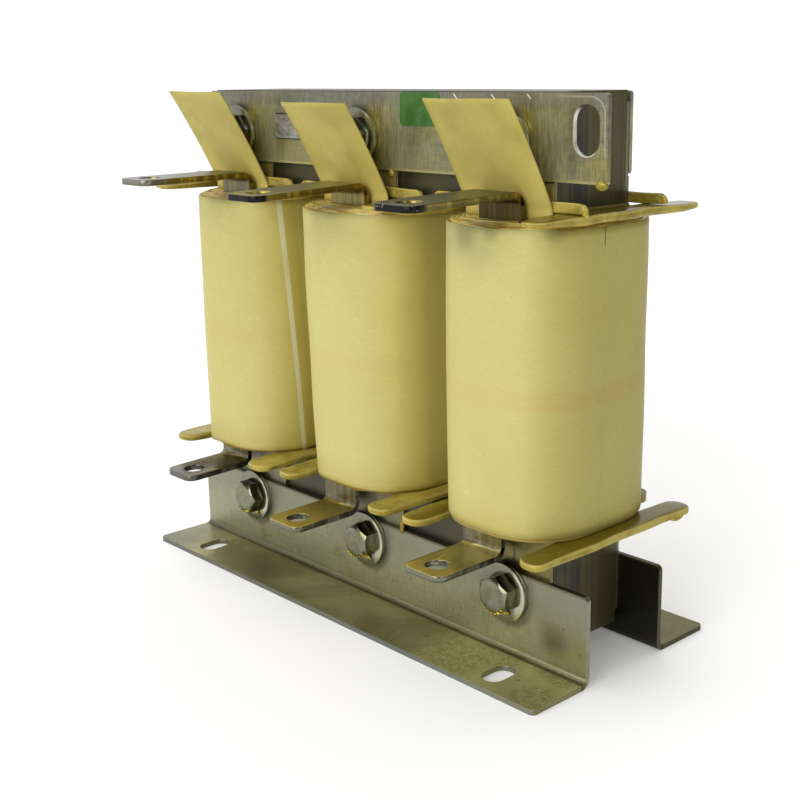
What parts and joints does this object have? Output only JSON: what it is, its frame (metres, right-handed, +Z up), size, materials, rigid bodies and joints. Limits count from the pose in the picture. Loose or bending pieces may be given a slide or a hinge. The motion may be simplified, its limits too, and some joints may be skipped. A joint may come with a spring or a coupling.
{
  "type": "three-phase line reactor",
  "caption": "Open-frame three-phase line reactor: upright oval coils on a laminated steel core, bolted between sheet brackets, with flat bar terminals and leaning paper flaps.",
  "frame": {"origin": "middle of the four foot slots, on the surface that the feet stand on", "axes": "+X along the row of coils, -Y towards the terminals, +Z up"},
  "size_m": [0.2374, 0.1251, 0.2004],
  "materials": {
    "bracket_steel": "galvanised sheet under a thin amber varnish, with thicker yellow runs",
    "bar_steel": "galvanised sheet, spangled, under varnish",
    "core_steel": "stacked electrical sheet, dark varnish in the seams",
    "strap_steel": "bright strip under varnish",
    "spacer_laminate": "glass-filled laminate",
    "tube_paper": "varnished insulating paper",
    "winding_copper": null,
    "wrap_paper": "aramid paper wrap, varnished, satin",
    "stick_laminate": "glass polyester strip, varnished, glossy",
    "board_laminate": "glass polyester sheet, varnished",
    "terminal_copper": null,
    "flap_paper": "stiff aramid paper, varnished, slightly see-through",
    "label_film": "bare green film",
    "foil": "bare foil strip",
    "zinc_steel": "zinc-plated steel, varnish in the corners"
  },
  "bodies": {
    "root": {"bottom_stick_left_a": "stick_laminate", "bottom_stick_left_b": "stick_laminate", "bottom_stick_middle_a": "stick_laminate", "bottom_stick_middle_b": "stick_laminate", "bottom_stick_right_a": "stick_laminate", "bottom_stick_right_b": "stick_laminate", "bottom_terminal_left": "terminal_copper", "bottom_terminal_middle": "terminal_copper", "bottom_terminal_right": "terminal_copper", "core_e_stack": "core_steel", "core_i_yoke": "core_steel", "flap_left": "flap_paper", "flap_middle": "flap_paper", "flap_right": "flap_paper", "flat_washers": "zinc_steel", "foil_label": "foil", "front_board_left": "board_laminate", "front_board_middle": "board_laminate", "front_board_right": "board_laminate", "front_bracket": "bracket_steel", "front_clamp_bar": "bar_steel", "front_strap_left": "strap_steel", "front_strap_middle": "strap_steel", "front_strap_right": "strap_steel", "gap_spacer_left": "spacer_laminate", "gap_spacer_middle": "spacer_laminate", "gap_spacer_right": "spacer_laminate", "hex_bolts": "zinc_steel", "hex_nuts": "zinc_steel", "inspection_label": "label_film", "leg_tube_left": "tube_paper", "leg_tube_middle": "tube_paper", "leg_tube_right": "tube_paper", "lock_washers": "zinc_steel", "outer_wrap_left": "wrap_paper", "outer_wrap_middle": "wrap_paper", "outer_wrap_right": "wrap_paper", "rear_board_left": "board_laminate", "rear_board_middle": "board_laminate", "rear_board_right": "board_laminate", "rear_bracket": "bracket_steel", "rear_clamp_bar": "bar_steel", "rear_packing_stick": "stick_laminate", "rear_strap_left": "strap_steel", "rear_strap_middle": "strap_steel", "rear_strap_right": "strap_steel", "top_stick_left_a": "stick_laminate", "top_stick_left_b": "stick_laminate", "top_stick_middle_a": "stick_laminate", "top_stick_middle_b": "stick_laminate", "top_stick_right_a": "stick_laminate", "top_stick_right_b": "stick_laminate", "top_terminal_left": "terminal_copper", "top_terminal_middle": "terminal_copper", "top_terminal_right": "terminal_copper", "winding_left": "winding_copper", "winding_middle": "winding_copper", "winding_right": "winding_copper"}
  },
  "joints": []
}
